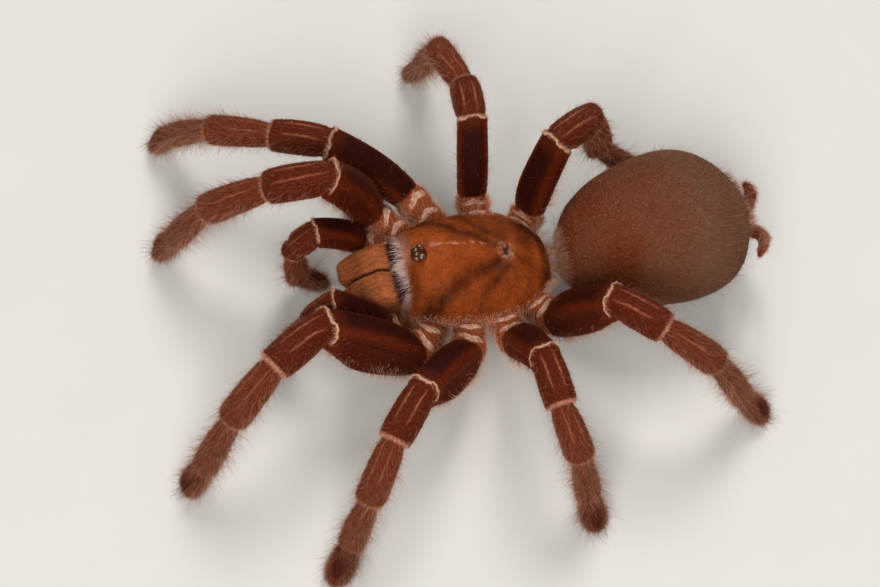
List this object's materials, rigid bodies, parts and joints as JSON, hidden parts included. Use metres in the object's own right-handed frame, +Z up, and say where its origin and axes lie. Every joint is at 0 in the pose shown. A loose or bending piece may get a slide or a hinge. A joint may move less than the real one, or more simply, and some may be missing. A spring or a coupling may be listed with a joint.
{
  "type": "tarantula",
  "caption": "Life-size tarantula as a still museum model, standing on its legs with a domed shield, forward jaws, feelers and a large egg-shaped abdomen.",
  "frame": {"origin": "centre of the bounding box's base, on the floor", "axes": "+Z up, the spider faces -Y and its left side is +X"},
  "size_m": [0.1222, 0.1374, 0.0422],
  "materials": {
    "carapace": "short orange-brown velvet",
    "femur": "dark maroon velvet",
    "leg": "hairy red-brown",
    "abdomen": "dense brown velvet",
    "underside": "dark brown velvet",
    "chelicera": "fine tan hair",
    "fang": "glossy black horn",
    "eye": "glossy dark"
  },
  "bodies": {
    "root": {"abdomen": "abdomen", "carapace": "carapace", "chelicera_left": "chelicera", "chelicera_right": "chelicera", "eye_tubercle": "eye", "fang_left": "fang", "fang_right": "fang", "leg1_left_femur": "femur", "leg1_left_metatarsus": "leg", "leg1_left_patella": "leg", "leg1_left_tarsus": "leg", "leg1_left_tibia": "leg", "leg1_right_femur": "femur", "leg1_right_metatarsus": "leg", "leg1_right_patella": "leg", "leg1_right_tarsus": "leg", "leg1_right_tibia": "leg", "leg2_left_femur": "femur", "leg2_left_metatarsus": "leg", "leg2_left_patella": "leg", "leg2_left_tarsus": "leg", "leg2_left_tibia": "leg", "leg2_right_femur": "femur", "leg2_right_metatarsus": "leg", "leg2_right_patella": "leg", "leg2_right_tarsus": "leg", "leg2_right_tibia": "leg", "leg3_left_femur": "femur", "leg3_left_metatarsus": "leg", "leg3_left_patella": "leg", "leg3_left_tarsus": "leg", "leg3_left_tibia": "leg", "leg3_right_femur": "femur", "leg3_right_metatarsus": "leg", "leg3_right_patella": "leg", "leg3_right_tarsus": "leg", "leg3_right_tibia": "leg", "leg4_left_femur": "femur", "leg4_left_metatarsus": "leg", "leg4_left_patella": "leg", "leg4_left_tarsus": "leg", "leg4_left_tibia": "leg", "leg4_right_femur": "femur", "leg4_right_metatarsus": "leg", "leg4_right_patella": "leg", "leg4_right_tarsus": "leg", "leg4_right_tibia": "leg", "palp_left_femur": "femur", "palp_left_patella": "leg", "palp_left_tarsus": "leg", "palp_left_tibia": "leg", "palp_right_femur": "femur", "palp_right_patella": "leg", "palp_right_tarsus": "leg", "palp_right_tibia": "leg", "pedicel": "underside", "spinneret_left": "leg", "spinneret_right": "leg", "sternum_coxae": "underside"}
  },
  "joints": []
}
